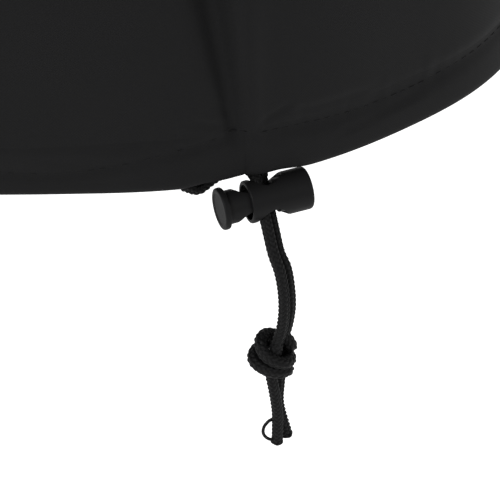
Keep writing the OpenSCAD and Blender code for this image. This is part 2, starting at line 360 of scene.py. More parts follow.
class Drape:
    """How the cloth hangs: its soft folds, its puckers along the seams, and its sag."""

    WAVES = ((7, 0.9, 0.4, 0.0011), (11, 0.75, 2.1, -0.0016), (15, 0.6, 4.0, 0.0021),
             (23, 0.42, 1.2, -0.0030))
    PUCKERS = ((171, 0.9, 0.7), (263, 1.0, 3.9), (391, 0.7, 5.3), (547, 0.4, 1.9))
    GROUPS = ((19, 1.7), (31, 4.4), (47, 0.3))
    ROW = ((-190, 1.4), (-130, -3.0), (-90, -9.0), (-58, -11.0), (-43, -9.6), (-28, -6.2), (-13, -3.1),
           (-3, 0.0), (3, -2.0), (20, -2.5), (35, -3.8), (55, -4.4), (75, -3.2), (100, -1.5), (150, 0.6),
           (220, 1.4))
    ROW_SMOOTHING = (-5.0, 0.0, 5.0)
    FOLD_TOP = 60.0
    TOP_LIFT = 0.55
    EDGE_FADE = 3.0

    def __init__(self, plan: Plan) -> None:
        """Places the folds.

        Args:
            plan: The cover's outline.
        """
        self.plan = plan
        self.wall = COVER.height - COVER.hem - COVER.shoulder + COVER.panel
        self.top_edge = self.wall + COVER.shoulder * math.pi / 2
        seam = plan.front_seam
        self.folds = [
            Fold(seam - 3.2, -2.1, 2.5, -0.115, 0.085, 100, 290, 0.04),
            Fold(seam + 2.8, 1.1, 3.2, -0.10, 0.06, 100, 280, 0.03),
            Fold(seam - 70, 1.1, 22, 0.10, 0.08),
            Fold(seam - 33, -0.7, 12, 0.16, 0.10),
            Fold(seam + 52, -0.8, 16, -0.22, 0.10),
            Fold(seam + 84, 1.0, 18, -0.16, 0.08),
        ]
        for k, other in enumerate(plan.seams[1:]):
            side = 1 if k % 2 else -1
            self.folds += [
                Fold(other + side * 2.5, -2.2 + 0.3 * k, 2.6, side * 0.05, 0.05, 130 + 20 * k, 290),
                Fold(other - side * 5.0, 0.9, 3.4, side * 0.04, 0.05, 110, 280),
                Fold(other + side * 46, -1.3, 14, side * 0.15, 0.09),
            ]
        self.creases = [
            Crease((seam - 3, 1.0), (seam - 15, 5.5), -0.42, 1.0),
            Crease((seam - 2, 1.5), (seam - 9, 11.0), -0.34, 0.9),
            Crease((seam + 3, 1.0), (seam + 14, 6.5), -0.40, 1.0),
            Crease((seam + 1, -2.0), (seam + 12, -7.5), -0.40, 1.1),
            Crease((seam - 4, -2.0), (seam - 20, -4.5), -0.35, 1.0),
            Crease((seam + 30, -9.5), (seam + 62, -7.0), -0.55, 1.0),
            Crease((seam + 16, 3.0), (seam + 42, 2.2), -0.35, 1.6),
            Crease((seam - 60, -6.0), (seam - 38, -8.0), -0.28, 1.2),
        ]

    def turns(self, s: Array, count: float) -> Array:
        """Gives an angle that runs a whole number of turns round the cover."""
        return 2 * math.pi * count * s / self.plan.length

    def around(self, s: Array, at: float) -> Array:
        """Gives the signed distance along the outline from a place, across the join too."""
        half = self.plan.length / 2
        return np.mod(s - at + half, self.plan.length) - half

    def grouped(self, s: Array) -> Array:
        """Says how strongly the puckers show at each place, from about 0 to 1."""
        total = sum(np.cos(self.turns(s, n) + phase) for n, phase in self.GROUPS)
        near = sum(bell(self.around(s, seam), 30.0) for seam in self.plan.seams)
        return np.clip(0.30 + 0.20 * total, 0.05, 1.0) + 0.6 * near

    def out(self, s: Array, v: Array) -> Array:
        """Says how far the cloth stands out from the plain outline.

        Args:
            s: Arc lengths round the cover.
            v: Heights above the casing's stitch line, less than 0 in the casing.

        Returns:
            The distance outwards, in millimetres.
        """
        low = 1.0 - 0.7 * smooth(v, 20.0, self.wall)
        total = sum(size * low * np.cos(self.turns(s, n) + phase + lean * v * n / 3)
                    for n, size, phase, lean in self.WAVES)
        in_casing = 1.0 - 0.65 * smooth(-v, 0.0, 9.0)
        for fold in self.folds:
            t = self.around(s, fold.at) - fold.lean * v
            fade = 1.0 - smooth(v, fold.fade_from, fold.fade_to)
            fade = fade * (1.0 + fold.deepen * np.clip(v, 0.0, self.FOLD_TOP))
            total = total + fold.depth * fade * in_casing * bell(t, fold.width + fold.widen * np.abs(v))
        for crease in self.creases:
            total = total + self.creased(s, v, crease)
        ripple = sum(size * np.cos(self.turns(s, n) + phase) for n, size, phase in self.PUCKERS)
        total = total + 0.10 * ripple * self.grouped(s) * bell(v - self.row(s) - 2.0, 6.0)
        shoulder = self.top_edge - v
        total = total + 0.14 * ripple * bell(shoulder, 7.0)
        return total - self.stitched_in(s, v)

    def creased(self, s: Array, v: Array, crease: Crease) -> Array:
        """Gives one crease's share of the shape, deepest along its middle."""
        s0 = crease.start[0]
        a = np.array([0.0, crease.start[1]])
        b = np.array([crease.end[0] - s0, crease.end[1]])
        run = b - a
        x, y = self.around(s, s0) - a[0], v - a[1]
        t = np.clip((x * run[0] + y * run[1]) / (run @ run), 0.0, 1.0)
        away = np.hypot(x - t * run[0], y - t * run[1])
        return crease.depth * bell(away, crease.width) * np.sqrt(np.clip(4 * t * (1 - t) + 0.15, 0, 1))

    def stitched_in(self, s: Array, v: Array) -> Array:
        """Says how far the stitching pulls the cloth in, along the casing and the seams."""
        right = smooth(self.around(s, self.plan.front_seam), 0.0, 30.0)
        line = (0.4 + 0.4 * right) * bell(v - self.row(s), 1.6 + 1.8 * right)
        seams = sum(0.5 * bell(self.around(s, seam), 0.8) for seam in self.plan.seams)
        seams = seams * (1.0 - 0.9 * smooth(v, -3.0, 7.0))
        top = 0.35 * bell(self.top_edge - v, 2.0)
        return line + seams + top

    def row(self, s: Array) -> Array:
        """Gives the height of the casing's stitch row, which wanders near the cord's opening."""
        places, heights = zip(*self.ROW)
        t = self.around(s, self.plan.front_seam)
        shifted = [np.interp(t + shift, places, heights) for shift in self.ROW_SMOOTHING]
        return sum(shifted) / len(shifted)

    def wall_points(self, s: Array, v: Array, inset: float | Array = 0.0) -> Array:
        """Finds points on the walls and over the shoulder.

        Args:
            s: Arc lengths round the cover.
            v: Lengths up the cloth from the casing's stitch line.
            inset: How far inside the cloth's face the points lie.

        Returns:
            The points in millimetres, with x, y, z on the last axis.
        """
        s, v = np.broadcast_arrays(np.asarray(s, float), np.asarray(v, float))
        spot, way = self.plan.at(s)
        turn = np.clip((v - self.wall) / COVER.shoulder, 0.0, math.pi / 2)
        back = COVER.shoulder * (1 - np.cos(turn))
        z = -COVER.height + COVER.hem + np.minimum(v, self.wall) + COVER.shoulder * np.sin(turn)
        push = self.out(s, v) - inset
        flat = spot + way * (push * np.cos(turn) - back)[..., None]
        sag = self.hem_sag(s) * bell(v, 40.0)
        return at_height(flat, z + sag + push * np.sin(turn))

    def lap(self, s: Array, inset: float) -> tuple[Array, Array]:
        """Finds where the top panel's edge lies over the shoulder.

        Args:
            s: Arc lengths round the cover.
            inset: How far in from the outline, seen from above.

        Returns:
            The points seen from above, and the heights before the top's own shape.
        """
        spot, way = self.plan.at(s)
        turn = math.acos(1 - min(inset, COVER.shoulder) / COVER.shoulder)
        rise = COVER.panel - COVER.shoulder * (1 - math.sin(turn)) + self.TOP_LIFT
        fade = math.exp(-max(inset - COVER.shoulder, 0.0) / self.EDGE_FADE)
        return spot - way * inset, rise + self.out(s, np.full_like(s, self.top_edge)) * fade

    def hem_sag(self, s: Array) -> Array:
        """Says how much the hem's edge rises or drops along its run."""
        wave = 0.5 * np.cos(self.turns(s, 9) + 0.8) + 0.35 * np.cos(self.turns(s, 21) + 2.9)
        gather = 0.5 * bell(self.around(s, self.plan.front_seam + 2), 17.0)
        far = 1.0 - bell(self.around(s, self.plan.front_seam), 90.0)
        return gather + wave * far


# ---------------------------------------------------------------- finishes


class Slot(Enum):
    """The record's material slots."""

    CLOTH = "coated_fabric"
    TAPE = "seam_tape"
    THREAD = "sewing_thread"
    BRAID = "braided_cord"
    TIP = "melted_tip"
    PLASTIC = "lock_plastic"
    STEEL = "spring_steel"


class Nodes:
    """A material's or a group's node tree, with short ways to add to it."""

    def __init__(self, tree: bpy.types.NodeTree) -> None:
        """Keeps the tree."""
        self.tree = tree

    def add(self, kind: str, inputs: Optional[dict] = None, **values: object) -> bpy.types.Node:
        """Adds a node.

        Args:
            kind: The node's type name.
            inputs: Values or sockets for its inputs, by name or number.
            **values: The node's own settings.

        Returns:
            The new node.
        """
        node = self.tree.nodes.new(kind)
        for key, value in values.items():
            setattr(node, key, value)
        for key, value in (inputs or {}).items():
            if isinstance(value, bpy.types.NodeSocket):
                self.tree.links.new(value, node.inputs[key])
            else:
                node.inputs[key].default_value = value
        return node

    def maths(self, operation: str, a: object, b: object = 0.0) -> bpy.types.NodeSocket:
        """Adds a Math node on two values or sockets and returns its result."""
        return self.add("ShaderNodeMath", {0: a, 1: b}, operation=operation).outputs[0]

    def remap(self, value: object, low: float, high: float, to_low: float,
              to_high: float) -> bpy.types.NodeSocket:
        """Adds a Map Range node and returns its result."""
        return self.add("ShaderNodeMapRange", {0: value, 1: low, 2: high, 3: to_low, 4: to_high}).outputs[0]

    def blend(self, factor: object, a: Sequence[float], b: Sequence[float]) -> bpy.types.NodeSocket:
        """Adds a colour mix and returns its colour."""
        node = self.add("ShaderNodeMix", data_type="RGBA")
        for key, value in ((0, factor), (6, a), (7, b)):
            if isinstance(value, bpy.types.NodeSocket):
                self.tree.links.new(value, node.inputs[key])
            else:
                node.inputs[key].default_value = value
        return node.outputs[2]


def group(name: str, inputs: dict[str, float], outputs: dict[str, str]) -> tuple[Nodes, dict, dict]:
    """Starts a shader node group.

    Args:
        name: The group's name.
        inputs: Its number inputs and their defaults.
        outputs: Its outputs and their socket types.

    Returns:
        The group's nodes, its input sockets and its output sockets, by name.
    """
    tree = bpy.data.node_groups.new(name, "ShaderNodeTree")
    for key, value in inputs.items():
        tree.interface.new_socket(key, in_out="INPUT", socket_type="NodeSocketFloat").default_value = value
    for key, kind in outputs.items():
        tree.interface.new_socket(key, in_out="OUTPUT", socket_type=kind)
    nodes = Nodes(tree)
    source, sink = nodes.add("NodeGroupInput"), nodes.add("NodeGroupOutput")
    return nodes, {k: source.outputs[k] for k in inputs}, {k: sink.inputs[k] for k in outputs}


class SharedEffects:
    """Shader node groups that several finishes use."""

    def __init__(self) -> None:
        """Builds each group once."""
        self.weave = self.build_weave()
        self.grain = self.build_grain()
        self.dust = self.build_dust()

    @staticmethod
    def build_weave() -> bpy.types.NodeTree:
        """Builds a plain weave that follows the cloth's own map.

        Returns:
            The group, whose Height is a weave with slight slubs.
        """
        nodes, given, result = group("plain_weave", {"Threads per metre": 1600.0, "Slubs": 0.3},
                                     {"Height": "NodeSocketFloat", "Slub": "NodeSocketFloat"})
        at = nodes.add("ShaderNodeUVMap", uv_map="run").outputs[0]
        split = nodes.add("ShaderNodeSeparateXYZ", {0: at})
        waves = []
        for k in range(2):
            turn = nodes.maths("MULTIPLY", split.outputs[k], given["Threads per metre"])
            waves.append(nodes.maths("SINE", nodes.maths("MULTIPLY", turn, math.pi)))
        cross = nodes.maths("MULTIPLY", waves[0], waves[1])
        noise = nodes.add("ShaderNodeTexNoise", {"Vector": at, "Scale": 420.0, "Detail": 3.0})
        slub = nodes.maths("MULTIPLY", noise.outputs[0], given["Slubs"])
        height = nodes.maths("ADD", nodes.remap(cross, -1.0, 1.0, 0.0, 1.0), slub)
        nodes.tree.links.new(height, result["Height"])
        nodes.tree.links.new(noise.outputs[0], result["Slub"])
        return nodes.tree

    @staticmethod
    def build_grain() -> bpy.types.NodeTree:
        """Builds a fine grain in the piece's own space.

        Returns:
            The group, whose Height is the grain and whose Patches vary slowly.
        """
        nodes, given, result = group("fine_grain", {"Scale": 3000.0, "Patch scale": 30.0},
                                     {"Height": "NodeSocketFloat", "Patches": "NodeSocketFloat"})
        at = nodes.add("ShaderNodeTexCoord").outputs["Object"]
        fine = nodes.add("ShaderNodeTexNoise", {"Vector": at, "Scale": given["Scale"], "Detail": 4.0})
        broad = nodes.add("ShaderNodeTexNoise", {"Vector": at, "Scale": given["Patch scale"], "Detail": 3.0})
        nodes.tree.links.new(fine.outputs[0], result["Height"])
        nodes.tree.links.new(broad.outputs[0], result["Patches"])
        return nodes.tree

    @staticmethod
    def build_dust() -> bpy.types.NodeTree:
        """Builds sparse specks of lint.

        Returns:
            The group, whose Mask is 1 on a speck.
        """
        nodes, given, result = group("lint", {"Scale": 900.0, "Amount": 0.02}, {"Mask": "NodeSocketFloat"})
        at = nodes.add("ShaderNodeTexCoord").outputs["Object"]
        cells = nodes.add("ShaderNodeTexVoronoi", {"Vector": at, "Scale": given["Scale"], "Randomness": 1.0})
        near = nodes.maths("LESS_THAN", cells.outputs["Distance"], 0.12)
        pick = nodes.add("ShaderNodeSeparateColor", {0: cells.outputs["Color"]})
        rare = nodes.maths("LESS_THAN", pick.outputs[0], given["Amount"])
        nodes.tree.links.new(nodes.maths("MULTIPLY", near, rare), result["Mask"])
        return nodes.tree


@dataclass(frozen=True)
class Finish:
    """What every finish has: its colours, how rough it is, and its name."""

    name: str
    dark: tuple[float, float, float, float]
    light: tuple[float, float, float, float]
    smoothest: float
    roughest: float

    def start(self, effects: SharedEffects) -> tuple[Nodes, bpy.types.Material, bpy.types.Node, dict]:
        """Makes the material, with its grain already placed.

        Args:
            effects: The shared groups.

        Returns:
            The nodes, the material, its Principled BSDF and the grain's outputs.
        """
        material = bpy.data.materials.new(self.name)
        material.use_nodes = True
        nodes = Nodes(material.node_tree)
        shader = material.node_tree.nodes["Principled BSDF"]
        grain = nodes.add("ShaderNodeGroup", node_tree=effects.grain)
        return nodes, material, shader, grain.outputs

    def finish_off(self, nodes: Nodes, shader: bpy.types.Node, tone: object, rough: object,
                   height: object, depth: float, strength: float) -> None:
        """Joins colour, roughness and relief to the shader.

        Args:
            nodes: The material's nodes.
            shader: Its Principled BSDF.
            tone: Where the colour lies between dark and light.
            rough: Where the roughness lies between smoothest and roughest.
            height: The relief.
            depth: The relief's full depth, in metres.
            strength: How strongly the relief shows.
        """
        nodes.tree.links.new(nodes.blend(tone, self.dark, self.light), shader.inputs["Base Color"])
        nodes.tree.links.new(nodes.remap(rough, 0.25, 0.75, self.smoothest, self.roughest),
                             shader.inputs["Roughness"])
        bump = nodes.add("ShaderNodeBump", {"Strength": strength, "Distance": depth, "Height": height})
        nodes.tree.links.new(bump.outputs[0], shader.inputs["Normal"])


@dataclass(frozen=True)
class ClothFinish(Finish):
    """Coated polyester cloth or woven tape."""

    threads: float = 1900.0
    relief: float = 0.00006
    strength: float = 0.35
    sheen: float = 0.01
    level: float = 0.1

    def build(self, effects: SharedEffects) -> bpy.types.Material:
        """Makes the cloth material."""
        nodes, material, shader, grain = self.start(effects)
        weave = nodes.add("ShaderNodeGroup", {"Threads per metre": self.threads, "Slubs": 0.35},
                          node_tree=effects.weave)
        lint = nodes.add("ShaderNodeGroup", {"Scale": 420.0, "Amount": 0.006}, node_tree=effects.dust)
        broad = nodes.add("ShaderNodeTexNoise",
                          {"Vector": nodes.add("ShaderNodeTexCoord").outputs["Object"],
                           "Scale": 9.0, "Detail": 2.0, "Distortion": 0.6})
        tone = nodes.maths("ADD", nodes.maths("MULTIPLY", weave.outputs["Height"], 0.28),
                           nodes.maths("MULTIPLY", grain["Patches"], 0.45))
        tone = nodes.maths("MAXIMUM", tone, lint.outputs["Mask"])
        rough = nodes.maths("ADD", nodes.maths("MULTIPLY", grain["Patches"], 0.45),
                            nodes.maths("MULTIPLY", broad.outputs[0], 0.55))
        shader.inputs["Specular IOR Level"].default_value = self.level
        shader.inputs["Sheen Weight"].default_value = self.sheen
        shader.inputs["Sheen Roughness"].default_value = 0.45
        self.finish_off(nodes, shader, tone, rough, weave.outputs["Height"], self.relief, self.strength)
        return material


@dataclass(frozen=True)
class BraidFinish(Finish):
    """Yarn of a braided cord or a twisted thread, with its filaments."""

    filaments: float = 5200.0
    level: float = 0.13

    def build(self, effects: SharedEffects) -> bpy.types.Material:
        """Makes the yarn material, with painted shade darker in the braid's hollows and lighter on its
        crowns.
        """
        nodes, material, shader, grain = self.start(effects)
        raised = nodes.add("ShaderNodeAttribute", attribute_name="raised").outputs["Fac"]
        way = nodes.add("ShaderNodeAttribute", attribute_name="way").outputs["Fac"]
        at = nodes.add("ShaderNodeUVMap", uv_map="run").outputs[0]
        split = nodes.add("ShaderNodeSeparateXYZ", {0: at})
        slope = nodes.maths("MULTIPLY", nodes.remap(way, 0.0, 1.0, -1.0, 1.0), split.outputs[0])
        lean = nodes.maths("ADD", split.outputs[1], slope)
        strands = nodes.maths("SINE", nodes.maths("MULTIPLY", lean, self.filaments * 2 * math.pi))
        height = nodes.maths("ADD", nodes.maths("MULTIPLY", strands, 0.5),
                             nodes.maths("MULTIPLY", grain["Height"], 0.8))
        # painted shade: the colour follows the braid's relief, darker in the hollows between yarns and
        # lighter on the raised crowns
        tone = nodes.maths("ADD", nodes.maths("MULTIPLY", raised, 0.75),
                           nodes.maths("MULTIPLY", grain["Patches"], 0.25))
        shader.inputs["Specular IOR Level"].default_value = self.level
        shader.inputs["Sheen Weight"].default_value = 0.03
        shader.inputs["Sheen Roughness"].default_value = 0.4
        self.finish_off(nodes, shader, tone, grain["Patches"], height, 0.00004, 0.5)
        return material


@dataclass(frozen=True)
class MouldedFinish(Finish):
    """Moulded plastic with a fine texture, or a melted braid end."""

    grain_scale: float = 5200.0
    relief: float = 0.00003
    strength: float = 0.35
    level: float = 0.15

    def build(self, effects: SharedEffects) -> bpy.types.Material:
        """Makes the plastic material, with scuffs and a fine texture."""
        nodes, material, shader, grain = self.start(effects)
        at = nodes.add("ShaderNodeTexCoord").outputs["Object"]
        scuffs = nodes.add("ShaderNodeTexNoise",
                           {"Vector": at, "Scale": 260.0, "Detail": 6.0, "Roughness": 0.7})
        fine = nodes.add("ShaderNodeTexNoise", {"Vector": at, "Scale": self.grain_scale, "Detail": 3.0})
        lint = nodes.add("ShaderNodeGroup", {"Scale": 1300.0, "Amount": 0.015}, node_tree=effects.dust)
        tone = nodes.maths("MAXIMUM", nodes.maths("MULTIPLY", grain["Patches"], 0.5), lint.outputs["Mask"])
        shader.inputs["Specular IOR Level"].default_value = self.level
        self.finish_off(nodes, shader, tone, scuffs.outputs[0], fine.outputs[0], self.relief, self.strength)
        return material


@dataclass(frozen=True)
class WireFinish(Finish):
    """Drawn spring wire."""

    def build(self, effects: SharedEffects) -> bpy.types.Material:
        """Makes the wire material, with drawing marks."""
        nodes, material, shader, grain = self.start(effects)
        shader.inputs["Metallic"].default_value = 1.0
        self.finish_off(nodes, shader, grain["Patches"], grain["Height"], grain["Height"], 0.00001, 0.3)
        return material


FINISHES: dict[Slot, Finish] = {
    Slot.CLOTH: ClothFinish("coated_cloth", (0.0085, 0.0085, 0.0089, 1), (0.0165, 0.0165, 0.0171, 1),
                            0.48, 0.6),
    Slot.TAPE: ClothFinish("ribbed_tape", (0.005, 0.005, 0.0055, 1), (0.011, 0.011, 0.0115, 1), 0.6, 0.8,
                           threads=1400.0, relief=0.0001, strength=0.5, sheen=0.05, level=0.2),
    Slot.THREAD: BraidFinish("twisted_thread", (0.011, 0.011, 0.0113, 1), (0.022, 0.022, 0.0226, 1),
                             0.45, 0.6, filaments=9000.0, level=0.12),
    # the braid's dark and light colours span its painted shade, from the hollows between yarns to the crowns
    Slot.BRAID: BraidFinish("braided_yarn", (0.0025, 0.0025, 0.0027, 1), (0.014, 0.014, 0.0145, 1), 0.4, 0.55,
                            level=0.16),
    Slot.TIP: MouldedFinish("melted_end", (0.003, 0.003, 0.0033, 1), (0.008, 0.008, 0.0085, 1), 0.3, 0.5,
                            grain_scale=2500.0, relief=0.0001, strength=0.6),
    Slot.PLASTIC: MouldedFinish("moulded_plastic", (0.010, 0.010, 0.0104, 1), (0.019, 0.019, 0.0196, 1),
                                0.42, 0.54),
    Slot.STEEL: WireFinish("spring_wire", (0.38, 0.38, 0.39, 1), (0.52, 0.52, 0.53, 1), 0.2, 0.35),
}


class Wardrobe:
    """Holds the built materials and dresses pieces in them."""

    def __init__(self) -> None:
        """Builds every finish once."""
        effects = SharedEffects()
        self.materials = {slot: finish.build(effects) for slot, finish in FINISHES.items()}

    def dress(self, obj: bpy.types.Object, slot: Slot, body: str,
              nodes: Iterable[str] = ()) -> bpy.types.Object:
        """Gives a piece its material, its body and the CAD nodes that it stands for.

        Args:
            obj: The piece.
            slot: Its material slot.
            body: The CAD body that it rides on.
            nodes: The CAD nodes that it replaces.

        Returns:
            The same piece.
        """
        obj.data.materials.clear()
        obj.data.materials.append(self.materials[slot])
        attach(obj, body)
        if nodes:
            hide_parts(*nodes)
        log.info("%s: %d faces, %s", obj.name, len(obj.data.polygons), slot.value)
        return obj


# ---------------------------------------------------------------- cloth


@dataclass
class ClothShell:
    """The sewn shell: four wall panels, the top, the hem casings and the seam tapes."""

    drape: Drape
    wardrobe: Wardrobe
    cloth: float = 0.8
    casing_cloth: float = 0.6
    fine_from: float = 90.0
    fine_to: float = 115.0
    fine_step: float = 1.0
    coarse_step: float = 4.5
    lap: float = 4.0
    slit_left: float = 20.0
    slit_right: float = 21.0
    ease_left: float = 9.0
    ease_right: float = 12.0
    edge_lift: float = 1.0
    inner_lift: float = 3.2
    tape_width: float = 22.0
    tape_thick: float = 0.5
    casing_columns: tuple[tuple[float, float], ...] = (
        (-0.03, 18.0), (0.3, 15.5), (0.6, 12.0), (0.8, 8.5), (0.95, 5.5), (1.05, 3.0), (1.05, 0.9),
        (0.7, -0.6), (-0.2, -1.2), (-1.3, -0.9), (-2.6, 0.3), (-3.9, 1.2), (-5.0, 3.0), (-5.2, 5.2),
        (-4.6, 8.0), (-3.5, 11.5), (-2.5, 15.0), (-1.9, 18.0))
    opened: tuple[int, int] = (7, 12)

    def run_steps(self, start: float, end: float, fine: float, coarse: float) -> Array:
        """Spaces places along the hem, closely near the cord's opening.

        Args:
            start: Where the run starts.
            end: Where it ends, further along.
            fine: The spacing near the opening.
            coarse: The spacing elsewhere.

        Returns:
            The places, with both ends among them.
        """
        plan = self.drape.plan
        marks = [start]
        while marks[-1] < end - 1e-6:
            near = self.drape.around(np.array(marks[-1]), plan.front_seam)
            other = min(abs(float(self.drape.around(np.array(marks[-1]), seam))) for seam in plan.seams)
            inside = -self.fine_from < near < self.fine_to
            step = fine if inside else (coarse * 0.5 if other < 24 else coarse)
            marks.append(min(marks[-1] + step, end))
        if marks[-1] - marks[-2] < fine * 0.4:
            marks.pop(-2)
        return np.array(marks)

    def wall(self, name: str, node: str, start: float, end: float) -> bpy.types.Object:
        """Builds one wall panel from the casing's stitch line over the shoulder.

        Args:
            name: The piece's name.
            node: The CAD node that it stands for.
            start: The seam that it starts at.
            end: The seam that it ends at.

        Returns:
            The panel.
        """
        s = self.run_steps(start, end, self.fine_step, self.coarse_step)
        rise = self.drape.top_edge
        v = np.concatenate([np.arange(-0.3, 40, 1.3), np.arange(40, 110, 2.4),
                            np.arange(110, self.drape.wall, 5.0), np.linspace(self.drape.wall, rise, 17)])
        points = self.drape.wall_points(s[None, :], v[:, None])
        uv = np.stack(np.broadcast_arrays(s[None, :], v[:, None]), -1)
        panel = mesh_from(name, points.reshape(-1, 3), grid_faces(len(v), len(s)), uv.reshape(-1, 2))
        apply_modifier(panel, "SOLIDIFY", thickness=self.cloth * MM, offset=-1.0)
        shade(panel, 50)
        self.wardrobe.dress(panel, Slot.CLOTH, "cover", [node])
        return panel

    def openness(self, s: Array) -> Array:
        """Says how far the casing gapes at each place, from 0, closed, to 1."""
        t = self.drape.around(s, self.drape.plan.front_seam)
        opens = smooth(t, -self.slit_left, self.ease_left - self.slit_left)
        return opens * (1 - smooth(t, self.slit_right - self.ease_right, self.slit_right))

    def casing(self, name: str, node: str, start: float, end: float) -> bpy.types.Object:
        """Builds one folded hem casing, hollow for the cord, and open where the cord comes out.

        Args:
            name: The piece's name.
            node: The CAD node that it stands for.
            start: The seam that it starts at.
            end: The seam that it ends at.

        Returns:
            The casing.
        """
        s = self.run_steps(start, end, 1.0, 2.6)
        spans = 2
        section = catmull([(o, z, 0.0) for o, z in self.casing_columns], spans)
        first, last = (k * spans for k in self.opened)
        gape = self.openness(s)
        spot, way = self.drape.plan.at(s)
        rows = []
        for k, (o, z, _) in enumerate(section):
            outside = k <= first
            share = smooth(np.array(z), 11.0, 2.0) if outside else smooth(np.array(z), 14.0, 3.6)
            lift = gape * share * (self.edge_lift if outside else self.inner_lift)
            flare = gape * share * (-0.3 if outside else -0.4)
            follow = self.drape.out(s, np.full_like(s, z - COVER.hem))
            loose = 1.0 if outside else 0.75
            reach = o + flare + follow * loose
            sag = self.drape.hem_sag(s) * math.exp(-(((z - COVER.hem) / 40.0) ** 2))
            flat = spot + way * reach[:, None]
            rows.append(at_height(flat, -COVER.height + z + lift + sag))
        points = np.stack(rows, 0)
        along = np.cumsum(np.r_[0.0, np.linalg.norm(np.diff(section[:, :2], axis=0), axis=1)])
        uv = np.stack(np.broadcast_arrays(s[None, :], -along[:, None]), -1)

        def stays(i: int, j: int) -> bool:
            return not (first <= i < last and gape[j] > 0.02 and gape[min(j + 1, len(s) - 1)] > 0.02)

        faces = [f[::-1] for f in grid_faces(len(section), len(s), keep=stays)]
        casing = mesh_from(name, points.reshape(-1, 3), faces, uv.reshape(-1, 2))
        apply_modifier(casing, "SOLIDIFY", thickness=self.casing_cloth * MM, offset=-1.0)
        shade(casing, 50)
        self.wardrobe.dress(casing, Slot.CLOTH, "cover", [node])
        return casing

    def top(self) -> bpy.types.Object:
        """Builds the top panel, lapped over the shoulder's edge, with a slight sag."""
        drape, plan = self.drape, self.drape.plan
        s = np.linspace(0.0, plan.length, 420, endpoint=False)
        lapped = np.array([self.lap, self.lap * 0.6, self.lap * 0.2, -1.5, -4.0, -7.0, -11.0])
        rows, flats = [], []
        for step in lapped:
            flat, rise = drape.lap(s, COVER.shoulder - step)
            rows.append(at_height(flat, rise + self.top_shape(flat)))
            flats.append(flat)
        rim = flats[-1]
        for t in np.linspace(1.0, 0.0, 46)[1:-1]:
            flat = rim * t
            rows.append(at_height(flat, COVER.panel + drape.TOP_LIFT + self.top_shape(flat)))
            flats.append(flat)
        centre = float(self.top_shape(np.zeros((1, 2)))[0])
        middle = np.array([[0.0, 0.0, COVER.panel + drape.TOP_LIFT + centre]])
        points = np.concatenate([np.concatenate(rows), middle])
        uv = np.concatenate([np.concatenate(flats), [[0.0, 0.0]]])
        count, columns = len(rows), len(s)
        faces = grid_faces(count, columns, closed=True)
        hub = count * columns
        faces += [((count - 1) * columns + j, (count - 1) * columns + (j + 1) % columns, hub)
                  for j in range(columns)]
        panel = mesh_from("top_cloth", points, faces, uv)
        apply_modifier(panel, "SOLIDIFY", thickness=self.cloth * MM, offset=-1.0)
        shade(panel, 50)
        self.wardrobe.dress(panel, Slot.CLOTH, "cover", ["top_panel"])
        return panel

    def top_shape(self, flat: Array) -> Array:
        """Gives the top panel's height over its flat plane: sag, soft waves and storage creases.

        Args:
            flat: Points seen from above.

        Returns:
            The heights, in millimetres.
        """
        x, y = flat[:, 0], flat[:, 1]
        inside = np.clip(1 - (np.abs(x) / 325) ** 4, 0, 1) * np.clip(1 - (np.abs(y) / 215) ** 4, 0, 1)
        waves = (1.1 * np.sin(x / 61 + 0.7 * np.sin(y / 83)) * np.cos(y / 97 + 0.4)
                 + 0.8 * np.sin((x + 1.7 * y) / 74 + 1.1) + 0.5 * np.cos((x - 2.1 * y) / 49 + 2.0))
        creases = (0.9 * bell(x + 4 + 3 * np.sin(y / 60), 2.6) - 0.8 * bell(y - 6 + 2 * np.sin(x / 75), 2.4)
                   + 0.7 * bell(x - 172 + 2 * np.sin(y / 45), 2.6)
                   + 0.7 * bell(x + 178 - 2 * np.sin(y / 52), 2.6))
        return inside * (waves + creases - 2.4)

    def tapes(self) -> None:
        """Builds the tape behind each corner seam."""
        plan, top = self.drape.plan, self.drape.wall
        for k, seam in enumerate(plan.seams):
            s = seam + np.linspace(-self.tape_width / 2, self.tape_width / 2, 37)
            v = np.arange(1.0, top, 2.4)
            points = self.drape.wall_points(s[None, :], v[:, None], inset=self.cloth + 0.25)
            uv = np.stack(np.broadcast_arrays(s[None, :], v[:, None]), -1)
            tape = mesh_from(f"seam_tape_{k + 1}", points.reshape(-1, 3), grid_faces(len(v), len(s)),
                             uv.reshape(-1, 2))
            apply_modifier(tape, "SOLIDIFY", thickness=self.tape_thick * MM, offset=-1.0)
            self.wardrobe.dress(tape, Slot.TAPE, "cover", ["corner_seam_tapes"])

    def build(self) -> None:
        """Builds the whole shell."""
        plan = self.drape.plan
        right, back_right, back_left, left = plan.seams
        runs = {"front": (left - plan.length, right), "right_end": (right, back_right),
                "back": (back_right, back_left), "left_end": (back_left, left)}
        self.top()
        for side, (start, end) in runs.items():
            self.wall(f"{side}_cloth", f"{side}_panel", start, end)
            hem = side.replace("_end", "")
            self.casing(f"{hem}_casing", f"{hem}_hem", start, end)
        self.tapes()


# ---------------------------------------------------------------- stitches


